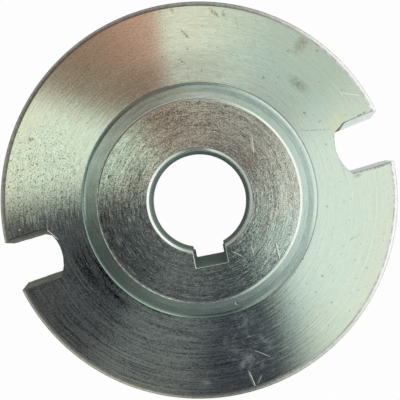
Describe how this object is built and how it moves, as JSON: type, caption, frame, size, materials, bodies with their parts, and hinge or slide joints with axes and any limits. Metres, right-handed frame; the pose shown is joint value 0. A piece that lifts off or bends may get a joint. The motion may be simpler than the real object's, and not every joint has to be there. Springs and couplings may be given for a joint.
{
  "type": "brush cutter blade flange",
  "caption": "Turned steel blade flange with a keyed hub, a raised boss and shoulder, and open driving slots in its rim.",
  "frame": {"origin": "bore axis at the back face of the hub, on the plane the part rests on", "axes": "+Z along the bore towards the raised front; the two rim slots open along +X and -X; +Y square to both"},
  "size_m": [0.1016, 0.102, 0.021],
  "materials": {
    "zinc_plated_steel": "turned, bright zinc plated with a faint green tint"
  },
  "bodies": {
    "root": {"blade_flange": "zinc_plated_steel"}
  },
  "joints": []
}
